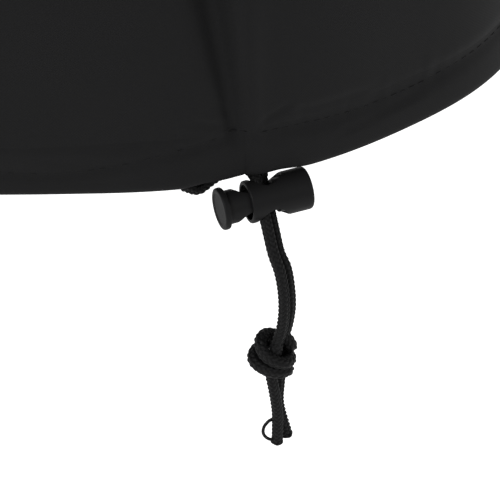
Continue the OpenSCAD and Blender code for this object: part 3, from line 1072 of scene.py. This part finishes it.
@dataclass
class Stitching:
    """All the sewing thread, laid as separate stitches."""

    BULGE: ClassVar = ((-18.0, 0.9), (-15.0, 1.05), (-9.5, 0.8), (-6.0, 0.6), (-2.5, 0.3), (0.0, 0.0))
    TACKS: ClassVar = (-21.5, 22.5)
    drape: Drape
    wardrobe: Wardrobe
    pitch: float = 3.4
    stitch: float = 2.9
    radius: float = 0.15
    sink: float = 0.12
    tape_face: float = 1.55
    tack_sink: float = 0.16
    tack_bars: int = 7
    tack_step: float = 0.27
    tack_span: tuple[float, float] = (-13.0, -6.0)
    seam_rows: tuple[float, float] = (-3.0, 3.0)

    def one(self) -> tuple[Array, list[tuple[int, ...]]]:
        """Models one stitch: a short rod with its ends drawn down into the cloth.

        Returns:
            Its points, along x and up z, and its faces.
        """
        bpy.ops.object.select_all(action="DESELECT")
        bpy.ops.mesh.primitive_cylinder_add(vertices=6, radius=1.0, depth=1.0, end_fill_type="TRIFAN",
                                            rotation=(0.0, math.pi / 2, 0.0))
        rod = bpy.context.object
        bpy.ops.object.transform_apply(location=False, rotation=True, scale=False)
        bpy.ops.object.mode_set(mode="EDIT")
        bpy.ops.mesh.select_all(action="SELECT")
        bpy.ops.mesh.bisect(plane_co=(-0.25, 0, 0), plane_no=(1, 0, 0))
        bpy.ops.mesh.select_all(action="SELECT")
        bpy.ops.mesh.bisect(plane_co=(0.25, 0, 0), plane_no=(1, 0, 0))
        bpy.ops.object.mode_set(mode="OBJECT")
        points = np.array([v.co[:] for v in rod.data.vertices])
        faces = [tuple(p.vertices) for p in rod.data.polygons]
        bpy.data.objects.remove(rod)
        tip = np.abs(points[:, 0]) > 0.4
        points[:, 1:] *= self.radius
        points[tip, 1:] *= 0.55
        points[tip, 2] -= self.radius * 1.15
        points[:, 0] *= self.stitch
        return points, faces

    def sew(self, name: str, rows: Iterable[tuple[Array, Array]], nodes: Sequence[str]) -> bpy.types.Object:
        """Lays stitches along rows of points.

        Args:
            name: The piece's name.
            rows: Pairs of points along a row and the cloth's outward directions there.
            nodes: The CAD nodes that the stitches stand for.

        Returns:
            One object with all the stitches.
        """
        shape, faces = self.one()
        points, all_faces, uv = [], [], []
        for line, away in rows:
            run = np.r_[0.0, np.cumsum(np.linalg.norm(np.diff(line, axis=0), axis=1))]
            for at in np.arange(self.pitch / 2, run[-1] - self.stitch / 2, self.pitch):
                ends = [np.array([np.interp(at + d, run, line[:, k]) for k in range(3)])
                        for d in (-self.stitch / 2, self.stitch / 2)]
                up = np.array([np.interp(at, run, away[:, k]) for k in range(3)])
                along = ends[1] - ends[0]
                along /= np.linalg.norm(along)
                up -= along * (up @ along)
                up /= np.linalg.norm(up)
                side = np.cross(up, along)
                middle = (ends[0] + ends[1]) / 2 + up * (self.radius - self.sink)
                base = len(points) * len(shape)
                points.append(middle + shape @ np.stack([along, side, up]))
                uv.append(shape[:, :2] + [at, 0.0])
                all_faces += [tuple(i + base for i in f) for f in faces]
        thread = mesh_from(name, np.concatenate(points), all_faces, np.concatenate(uv))
        self.wardrobe.dress(thread, Slot.THREAD, "cover", nodes)
        return thread

    def on_wall(self, s: Array, v: Array) -> tuple[Array, Array]:
        """Finds a row on the walls, and the outward directions along it.

        Args:
            s: Arc lengths along the row.
            v: Heights along the row.

        Returns:
            The points and the outward directions.
        """
        bulge = np.interp(v, *zip(*self.BULGE))
        line = self.drape.wall_points(s, v, inset=-bulge)
        ahead = self.drape.wall_points(s + 0.5, v) - self.drape.wall_points(s - 0.5, v)
        above = self.drape.wall_points(s, v + 0.5) - self.drape.wall_points(s, v - 0.5)
        away = np.cross(ahead, above)
        return line, away / np.linalg.norm(away, axis=-1, keepdims=True)

    def on_tape(self, s: Array, v: Array) -> tuple[Array, Array]:
        """Finds a row on the inside of a seam tape, and its directions into the cover.

        Args:
            s: Arc lengths along the row.
            v: Heights along the row.

        Returns:
            The points and the directions.
        """
        outer, away = self.on_wall(s, v)
        return outer - away * self.tape_face, -away

    def build(self, top: Callable[[Array], Array]) -> None:
        """Sews every seam.

        Args:
            top: Gives the top panel's height at points seen from above.
        """
        plan = self.drape.plan
        s = np.arange(0.0, plan.length + 1.0, 1.0)
        self.sew("hem_stitches", [self.on_wall(s, self.drape.row(s))], ["hem_thread"])
        v = np.arange(4.0, self.drape.wall - 4, 1.0)
        rows = [self.on_tape(np.full_like(v, seam + side), v) for seam in plan.seams
                for side in self.seam_rows]
        self.sew("corner_stitches", rows, ["corner_seam_thread"])
        rows = []
        for inset in (COVER.shoulder - 1.6, COVER.shoulder + 4.6):
            flat, rise = self.drape.lap(s, inset)
            line = at_height(flat, rise + top(flat))
            rows.append((line, np.broadcast_to([0.0, 0.0, 1.0], line.shape)))
        self.sew("top_stitches", rows, ["top_seam_thread"])
        self.tacks()

    def tacks(self) -> None:
        """Sews the close bars at the ends of the cord's opening."""
        rows = []
        for at in self.TACKS:
            for k in range(self.tack_bars):
                v = np.linspace(*self.tack_span, 8) - 0.15 * (k % 2)
                place_at = self.drape.plan.front_seam + at + self.tack_step * k
                line, away = self.on_wall(np.full_like(v, place_at), v)
                rows.append((line - away * self.tack_sink, away))
        self.sew("tack_stitches", rows, ["bar_tacks"])


# ---------------------------------------------------------------- cord


@dataclass(frozen=True)
class Braid:
    """How a tubular braid is laid: its yarns, its relief and how finely it is meshed."""

    carriers: int = 8
    pitch: float = 1.65
    relief: float = 0.48
    sides: int = 56
    step: float = 0.16

    def height(self, turn: Array, along: Array) -> tuple[Array, Array]:
        """Gives the braid's relief over its surface.

        Args:
            turn: Angle round the cord, in turns.
            along: Length along the cord, in millimetres.

        Returns:
            The relief from 0 to 1, and which way the yarn on top runs, 0 or 1.
        """
        right = turn * self.carriers + along / self.pitch
        left = turn * self.carriers - along / self.pitch
        heights = []
        for lane, other, start in ((right, left, 0.0), (left, right, 2.0)):
            crown = np.sqrt(np.clip(1 - (2 * (lane - np.floor(lane)) - 1) ** 2, 0, 1))
            beat = np.mod(np.floor(lane) + other - start, 4.0)
            float_over = np.sin(np.clip(beat, 0.0, 2.0) * math.pi / 2)
            heights.append(crown * (0.30 + 0.70 * float_over))
        top = np.maximum(*heights)
        way = (heights[0] > heights[1]).astype(float)
        return np.clip(top, 0, 1), way


@dataclass
class Cord:
    """The drawcord: in the casing, through the lock, and hanging to its knot and tips."""

    wardrobe: Wardrobe
    plan: Plan
    braid: Braid = field(default_factory=Braid)
    radius: float = COVER.cord / 2
    per_span: int = 14
    knot_swell: float = 0.22
    right_join: float = 29.9
    left_join: float = 29.4
    casing_rise: float = 3.4
    yarn_radius: float = 0.55
    routes: dict[str, list[Point]] = field(default_factory=lambda: {
        "left_lead": [
            (-29, -5.8, 3.4), (-24.4, -5.2, 2.8), (-20, -4.6, 0.4), (-16.8, -3.7, -2.6), (-13.4, -2, -4.8),
            (-8.8, 0.3, -2.5), (-3.4, 2, -0.4), (1.2, 2.7, -1.2), (3.8, 1.1, -4), (4.7, -1.3, -7.1),
            (6.2, -5.1, -12.2)],
        "right_lead": [
            (29.4, 12.6, 3.4), (25.4, 10.4, 3.4), (21, 8.6, 3.3), (16.8, 8.9, 2.5), (12.9, 9.3, 1.1),
            (9.2, 8.8, -0.8), (6.3, 7, -3), (5.5, 4.2, -5.8), (6.4, 1.8, -8.9), (7.9, -2, -14)],
        "left_strand": [
            (6.2, -5.1, -12.2), (7.6, -8.9, -17.2), (9, -12.4, -21.9), (10.9, -14.6, -27.2),
            (12, -16, -34.3), (12.2, -16.7, -41.8), (11.5, -16.9, -48.8), (10.1, -16.9, -54.2)],
        "right_strand": [
            (7.9, -2, -14), (9.3, -5.8, -19), (10.7, -9.4, -23.7), (12.8, -11.2, -28.6),
            (13.8, -12.4, -35), (14.1, -13, -42.1), (13.4, -13.2, -48.8), (12.2, -13.5, -54.2)],
        "left_tail": [(7.6, -15.9, -64.2), (9.3, -17, -73.8), (10.4, -17, -83.8), (10.4, -16.8, -95.8)],
        "right_tail": [(11.6, -13.9, -64.2), (11, -13, -73.8), (10.8, -13, -83.8), (13.4, -13.2, -96.2)],
    })
    knot_mid: Point = (8.9, -15.0, -59.8)
    knot_routes: dict[str, list[Point]] = field(default_factory=lambda: {
        "left": [
            (1.2, -1.9, 5.6), (1.0, -2.3, 3.4), (0.6, -1.8, 1.0), (1.2, 0.6, -1.0), (3.2, 2.4, -1.6),
            (3.6, 5.0, -1.6), (0.6, 6.3, -1.4), (-3.4, 4.4, -1.4), (-5.7, 0.8, -1.4), (-5.3, -2.6, -1.7),
            (-2.2, -5.2, -2.3), (1.6, -5.3, -3.4), (4.4, -3.3, -4.2), (3.8, -1.4, -5.0), (1.6, -1.1, -4.8),
            (-0.4, -1.0, -4.4), (-1.3, -0.9, -4.4)],
        "right": [
            (3.3, 1.5, 5.6), (4.6, 1.2, 3.8), (5.5, 1.2, 1.6), (4.4, 4.1, 0.9), (1.4, 5.4, 1.9),
            (-1.6, 4.5, 3.3), (-3.4, 1.6, 4.4), (-3.6, -1.4, 4.0), (-2.2, -3.9, 2.5), (0.6, -5.0, 0.9),
            (3.6, -4.2, -0.6), (5.2, -1.4, -1.6), (4.6, 1.4, -2.4), (3.2, 2.0, -3.6), (2.7, 1.1, -4.4)],
    })

    def path(self, name: str) -> Array:
        """Gives a route in the cover's frame, in millimetres."""
        return catmull(self.routes[name], self.per_span) + COVER.anchor

    def sweep(self, name: str, path: Array, radius: float, braid: Braid, start: float = 0.0,
              closed_ends: bool = True) -> bpy.types.Object:
        """Sweeps a braided tube along a path.

        Args:
            name: The piece's name.
            path: The centreline, in millimetres.
            radius: The cord's outer radius.
            braid: The braid to lay over it.
            start: Where along the braid's pattern the path starts.
            closed_ends: Whether the ends are closed.

        Returns:
            The tube, with its relief and yarn direction stored on its points.
        """
        line = evenly(path, braid.step)
        tangent = np.gradient(line, axis=0)
        tangent /= np.linalg.norm(tangent, axis=1, keepdims=True)
        side = np.cross(tangent[0], [0.31, 0.22, 0.92])
        sides = []
        for t in tangent:
            side = side - t * (side @ t)
            side = side / np.linalg.norm(side)
            sides.append(side)
        u = np.array(sides)
        w = np.cross(tangent, u)
        turn = np.arange(braid.sides) / braid.sides
        along = start + np.arange(len(line)) * length_of(line) / (len(line) - 1)
        raised, way = braid.height(turn[None, :], along[:, None])
        reach = radius - braid.relief * (1 - raised)
        angle = 2 * math.pi * turn[None, :, None]
        ring = u[:, None] * np.cos(angle) + w[:, None] * np.sin(angle)
        points = (line[:, None] + ring * reach[..., None]).reshape(-1, 3)
        uv = np.stack(np.broadcast_arrays(turn[None, :] * 2 * math.pi * radius, along[:, None]), -1)
        count, n = len(line), braid.sides
        faces = grid_faces(count, n, closed=True)
        extra = []
        if closed_ends:
            for at, ring_start, flip in ((line[0], 0, True), (line[-1], (count - 1) * n, False)):
                hub = count * n + len(extra)
                extra.append(at)
                for j in range(n):
                    a, b = ring_start + j, ring_start + (j + 1) % n
                    faces.append((b, a, hub) if flip else (a, b, hub))
        every = np.concatenate([points, np.array(extra).reshape(-1, 3)])
        flat_uv = np.concatenate([uv.reshape(-1, 2), np.zeros((len(extra), 2))])
        tube = mesh_from(name, every, faces, flat_uv)
        spare = np.zeros(len(extra))
        # the stored relief also sets the yarn material's painted shade, darker in the hollows
        for key, values in (("raised", raised), ("way", way)):
            layer = tube.data.attributes.new(key, "FLOAT", "POINT")
            layer.data.foreach_set("value", np.concatenate([values.ravel(), spare]).astype(np.float32))
        return tube

    def inside(self) -> bpy.types.Object:
        """Builds the stretch that the casing holds, all the way round."""
        seam, mid = self.plan.front_seam, COVER.casing_mid - COVER.corner
        start = seam + self.right_join / COVER.casing_mid * COVER.corner
        end = seam + self.plan.length - self.left_join / COVER.casing_mid * COVER.corner
        s = np.linspace(start, end, 900)
        spot, way = self.plan.at(s)
        flat = spot + way * mid
        z = np.full(len(s), -COVER.height + self.casing_rise)
        path = at_height(flat, z)
        coarse = Braid(sides=16, step=1.1, relief=0.1)
        tube = self.sweep("casing_cord", path, self.radius, coarse)
        return self.wardrobe.dress(tube, Slot.BRAID, "cover", ["drawcord"])

    def tie(self) -> list[bpy.types.Object]:
        """Ties the knot, both strands in turn.

        Returns:
            The two strands' turns in the knot.
        """
        centre = COVER.anchor + np.array(self.knot_mid)
        pieces = []
        for name, points in self.knot_routes.items():
            path = catmull(points, self.per_span) + centre
            turns = self.sweep(f"knot_{name}", path, self.radius + self.knot_swell, self.braid, start=3.0)
            pieces.append(self.wardrobe.dress(turns, Slot.BRAID, "cover", ["knot"]))
        return pieces

    def tips(self) -> list[bpy.types.Object]:
        """Models the melted tips: a rounded, slightly lumpy bead on each tail.

        Returns:
            The two tips.
        """
        tips = []
        for k, name in enumerate(("left_tail", "right_tail")):
            end, before = self.path(name)[-1], self.path(name)[-4]
            way = (end - before) / np.linalg.norm(end - before)
            bpy.ops.object.select_all(action="DESELECT")
            bpy.ops.mesh.primitive_uv_sphere_add(segments=32, ring_count=20, radius=self.radius * 1.05 * MM)
            bead = bpy.context.object
            bead.name = f"{name}_tip"
            place(bead, Matrix.Diagonal((1.0, 0.96, 0.62, 1.0)))
            for vertex in bead.data.vertices:
                angle = math.atan2(vertex.co.y, vertex.co.x)
                grow = 1 + 0.05 * math.sin(3 * angle + k) + 0.04 * math.sin(5 * angle + 2 * k)
                vertex.co.x *= grow
                vertex.co.y *= grow
            turn = Vector(way).to_track_quat("Z", "Y").to_matrix().to_4x4()
            place(bead, Matrix.Translation(Vector(end * MM)) @ turn)
            shade(bead, 60)
            tips.append(self.wardrobe.dress(bead, Slot.TIP, "cover", ["cord_tips"]))
        return tips

    def yarn_end(self) -> bpy.types.Object:
        """Draws the loose yarn that has worked out of the left tail."""
        end = np.array([9.9, -16.9, -90.8])
        loop = [(-0.6, 0.4, 4.2), (-2.2, -0.6, 4.0), (-3.6, -1.2, 2.2), (-3.9, -1.4, 0.0),
                (-3.3, -1.3, -1.8), (-2.0, -1.1, -3.2), (-0.8, -0.6, -3.6), (0.3, 0.2, -3.2)]
        path = catmull(loop, self.per_span) + end + COVER.anchor
        thin = Braid(carriers=3, pitch=0.9, relief=0.08, sides=10, step=0.12)
        yarn = self.sweep("loose_yarn", path, self.yarn_radius, thin)
        return self.wardrobe.dress(yarn, Slot.BRAID, "cover")

    def build(self) -> None:
        self.inside()
        for name in self.routes:
            tube = self.sweep(f"{name}_braid", self.path(name), self.radius, self.braid,
                              start=0.0 if "lead" in name else 7.0)
            self.wardrobe.dress(tube, Slot.BRAID, "cover", [name])
        knot = self.tie()
        tips = self.tips()
        yarn = self.yarn_end()


# ---------------------------------------------------------------- cord lock


@dataclass
class CordLock:
    """The barrel cord lock: a moulded barrel, its plunger and the spring between them."""

    wardrobe: Wardrobe
    from_anchor: Point = (7.4, -0.6, -9.4)
    yaw: float = 21.0
    roll: float = -39.0
    barrel_d: float = 13.2
    barrel_l: float = 19.7
    wall: float = 1.2
    end: float = 1.6
    hole_d: float = 10.4
    hole_at: float = 7.0
    head_d: float = 13.0
    head_t: float = 2.0
    neck: float = 6.8
    travel: float = 4.0
    play: float = 0.2
    window_right: float = 2.2
    window_half: float = 4.0
    web: float = 1.0
    wire: float = 0.7
    turns: float = 3.5
    voxel: float = 0.17

    @property
    def matrix(self) -> Matrix:
        """Takes the lock's own space, in metres, to the cover's frame."""
        at = Vector((COVER.anchor + np.array(self.from_anchor)) * MM)
        return (Matrix.Translation(at) @ Matrix.Rotation(math.radians(self.yaw), 4, "Z")
                @ Matrix.Rotation(math.radians(self.roll), 4, "X"))

    def rod(self, start: float, stop: float, radius: float, across: bool = False,
            sides: int = 96) -> bpy.types.Object:
        """Adds a cylinder along the barrel, or across it along the cord hole.

        Args:
            start: Where it starts.
            stop: Where it stops.
            radius: Its radius.
            across: Whether it runs along the cord hole.
            sides: Sides round it.

        Returns:
            The cylinder, with its place in its mesh.
        """
        bpy.ops.object.select_all(action="DESELECT")
        bpy.ops.mesh.primitive_cylinder_add(vertices=sides, radius=radius * MM, depth=(stop - start) * MM)
        rod = bpy.context.object
        turn = Matrix.Identity(4) if across else Matrix.Rotation(math.pi / 2, 4, "Y")
        place(rod, turn @ Matrix.Translation((0, 0, (start + stop) / 2 * MM)))
        return rod

    def soften_ends(self, obj: bpy.types.Object, where: Sequence[float], width: float) -> None:
        """Bevels the round edges that lie at given places along the barrel.

        Args:
            obj: The piece.
            where: The places along the barrel.
            width: The bevel's width.
        """
        only(obj)
        bpy.ops.object.mode_set(mode="EDIT")
        bpy.ops.mesh.select_all(action="DESELECT")
        bpy.ops.object.mode_set(mode="OBJECT")
        bpy.context.tool_settings.mesh_select_mode = (False, True, False)
        points = obj.data.vertices
        for edge in obj.data.edges:
            xs = [points[i].co.x / MM for i in edge.vertices]
            edge.select = any(max(abs(x - at) for x in xs) < 0.01 for at in where)
        bpy.ops.object.mode_set(mode="EDIT")
        bpy.ops.mesh.bevel(offset=width * MM, segments=4, affect="EDGES")
        bpy.ops.object.mode_set(mode="OBJECT")

    def join(self, obj: bpy.types.Object, other: bpy.types.Object, operation: str) -> None:
        """Adds or cuts another solid, which is then deleted."""
        apply_modifier(obj, "BOOLEAN", object=other, operation=operation, solver="EXACT")
        bpy.data.objects.remove(other)

    def mould(self, obj: bpy.types.Object, name: str, slot: Slot, body: str, node: str) -> bpy.types.Object:
        """Rounds every edge a little, as moulding does, and puts the piece in place.

        Args:
            obj: The piece, in the lock's own space.
            name: Its name.
            slot: Its material slot.
            body: The body that it rides on.
            node: The CAD node that it stands for.

        Returns:
            The finished piece.
        """
        obj.name = name
        apply_modifier(obj, "REMESH", mode="VOXEL", voxel_size=self.voxel * MM, use_smooth_shade=True)
        apply_modifier(obj, "SMOOTH", factor=0.5, iterations=6)
        place(obj, self.matrix)
        return self.wardrobe.dress(obj, slot, body, [node])

    def barrel(self) -> bpy.types.Object:
        """Moulds the barrel, with its bore, its cord hole and a thin lip."""
        open_end = -self.hole_at
        closed = open_end + self.barrel_l
        radius = self.barrel_d / 2
        body = self.rod(open_end, closed, radius, sides=128)
        self.soften_ends(body, (open_end,), 0.45)
        self.soften_ends(body, (closed,), 0.9)
        self.join(body, self.rod(open_end - 1, closed - self.end, radius - self.wall), "DIFFERENCE")
        self.join(body, self.rod(-radius - 1, radius + 1, self.hole_d / 2, across=True), "DIFFERENCE")
        dimple = self.rod(closed - 0.25, closed + 1, 1.3)
        self.join(body, dimple, "DIFFERENCE")
        return self.mould(body, "barrel", Slot.PLASTIC, "cord_lock", "lock_barrel")

    def plunger(self) -> bpy.types.Object:
        """Moulds the plunger: a head to press, a neck, and a window for the cord."""
        face = -self.hole_at - self.neck
        stem = self.barrel_d / 2 - self.wall - self.play
        seat = self.window_right + self.web
        left = self.window_right - 5 - self.travel
        head = self.rod(face - self.head_t, face, self.head_d / 2, sides=128)
        self.soften_ends(head, (face - self.head_t, face), 0.55)
        dish = self.rod(face - self.head_t - 1, face - self.head_t + 0.3, self.head_d / 2 - 1.5)
        self.join(head, dish, "DIFFERENCE")
        self.join(head, self.rod(face - 0.5, seat + 2, stem), "UNION")
        slot = self.rod(-9, 9, self.window_half, across=True)
        place(slot, Matrix.Translation((left * MM, 0, 0)))
        self.join(head, slot, "DIFFERENCE")
        bpy.ops.object.select_all(action="DESELECT")
        bpy.ops.mesh.primitive_cube_add(size=1.0)
        block = bpy.context.object
        wide = self.window_right - left
        place(block, Matrix.Translation(((left + wide / 2) * MM, 0, 0))
              @ Matrix.Diagonal((wide * MM, 2 * self.window_half * MM, 18 * MM, 1)))
        self.join(head, block, "DIFFERENCE")
        self.join(head, self.rod(seat, seat + 3, stem - 1.4), "DIFFERENCE")
        return self.mould(head, "plunger", Slot.PLASTIC, "plunger", "lock_plunger")

    def spring(self, sweep: Callable[..., bpy.types.Object]) -> bpy.types.Object:
        """Winds the spring between the plunger's seat and the barrel's closed end.

        Args:
            sweep: Sweeps a round wire along a path.

        Returns:
            The spring.
        """
        seat = self.window_right + self.web
        room = -self.hole_at + self.barrel_l - self.end
        a, b = seat + self.wire / 2 + 0.05, room - self.wire / 2 - 0.05
        radius = self.barrel_d / 2 - self.wall - self.play - 1.6 - self.wire / 2
        t = np.linspace(0, 1, 240)
        turn = 2 * math.pi * self.turns * t
        coil = np.stack([a + (b - a) * t, radius * np.cos(turn), radius * np.sin(turn)], 1)
        wire = sweep("spring", coil, self.wire / 2, Braid(carriers=1, relief=0.0, sides=12, step=0.3))
        place(wire, self.matrix)
        self.wardrobe.dress(wire, Slot.STEEL, "cord_lock", ["lock_spring"])
        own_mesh(wire)
        return wire


# ---------------------------------------------------------------- stage


@dataclass
class Studio:
    """The camera, the floor and the soft lights."""

    LAMPS: ClassVar = (("key", (-1.9, -2.1, 2.1), (0.1, -0.1, -0.2), 1.2, 52),
                       ("side", (2.6, -1.2, 1.0), (0.1, -0.1, -0.2), 1.2, 9),
                       ("rear", (0.4, 2.6, 2.4), (0, 0, -0.1), 1.6, 26))
    elevation: float = 42.0
    distance: float = 1.3
    view_width: float = 0.150
    sensor: float = 36.0
    aim_right: float = -5.46
    aim_up: float = -15.9
    floor_drop: float = 0.24
    floor_bounce: float = 0.22
    world_light: float = 0.28

    def camera(self, lock_at: Vector) -> None:
        """Sets the camera, looking down on the front right of the hem.

        Args:
            lock_at: The middle of the lock's cord hole.
        """
        tilt = math.radians(self.elevation)
        up = Vector((0, math.sin(tilt), math.cos(tilt)))
        look = Vector((0, math.cos(tilt), -math.sin(tilt)))
        target = lock_at + Vector((self.aim_right * MM, 0, 0)) + up * (self.aim_up * MM)
        data = bpy.data.cameras.new("camera")
        data.sensor_width = self.sensor
        data.lens = self.sensor * self.distance / self.view_width
        data.clip_start, data.clip_end = 0.05, 60.0
        camera = bpy.data.objects.new("camera", data)
        camera.location = target - look * self.distance
        camera.rotation_euler = look.to_track_quat("-Z", "Y").to_euler()
        bpy.context.scene.collection.objects.link(camera)
        bpy.context.scene.camera = camera

    def floor(self, low: float) -> None:
        """Lays a plain pale floor below the hanging cover.

        Args:
            low: The height of the lowest point of the cord.
        """
        bpy.ops.object.select_all(action="DESELECT")
        bpy.ops.mesh.primitive_plane_add(size=30.0, location=(0, 0, low - self.floor_drop))
        floor = bpy.context.object
        floor.name = "floor"
        material = bpy.data.materials.new("pale_floor")
        material.use_nodes = True
        shader = material.node_tree.nodes["Principled BSDF"]
        shader.inputs["Base Color"].default_value = (0.9, 0.9, 0.9, 1)
        shader.inputs["Roughness"].default_value = 0.9
        shader.inputs["Specular IOR Level"].default_value = 0.1
        shader.inputs["Emission Color"].default_value = (1, 1, 1, 1)
        nodes = Nodes(material.node_tree)
        seen = nodes.add("ShaderNodeLightPath").outputs["Is Camera Ray"]
        glow = nodes.remap(seen, 0.0, 1.0, self.floor_bounce, 1.0)
        nodes.tree.links.new(glow, shader.inputs["Emission Strength"])
        floor.data.materials.append(material)

    def area(self, name: str, at: Point, aim: Point, size: float, power: float) -> None:
        """Adds a square soft light that shines on a point."""
        data = bpy.data.lights.new(name, "AREA")
        data.energy, data.size = power, size
        light = bpy.data.objects.new(name, data)
        light.location = at
        light.rotation_euler = (Vector(aim) - Vector(at)).to_track_quat("-Z", "Y").to_euler()
        light.visible_camera = False
        bpy.context.scene.collection.objects.link(light)

    def lights(self) -> None:
        """Lights the cover softly from above, left and right."""
        world = bpy.data.worlds.new("studio")
        bpy.context.scene.world = world
        world.use_nodes = True
        back = world.node_tree.nodes["Background"]
        back.inputs[0].default_value = (1, 1, 1, 1)
        back.inputs[1].default_value = self.world_light
        for name, at, aim, size, power in self.LAMPS:
            self.area(name, at, aim, size, power)
        view = bpy.context.scene.view_settings
        view.view_transform = "Standard"
        view.look = "None"
        view.exposure = 0.0


def main() -> None:
    """Builds the studio, the cord, the cloth, the stitches and the lock."""
    plan = Plan(COVER)
    drape = Drape(plan)
    wardrobe = Wardrobe()
    lock = CordLock(wardrobe)
    studio = Studio()
    studio.camera(lock.matrix.translation)
    cord = Cord(wardrobe, plan)
    cord.build()
    shell = ClothShell(drape, wardrobe)
    shell.build()
    Stitching(drape, wardrobe).build(shell.top_shape)
    lock.barrel()
    lock.plunger()
    lock.spring(cord.sweep)
    studio.floor(float(CAD_BOX[0][2]))
    studio.lights()


if __name__ == "__main__":
    main()
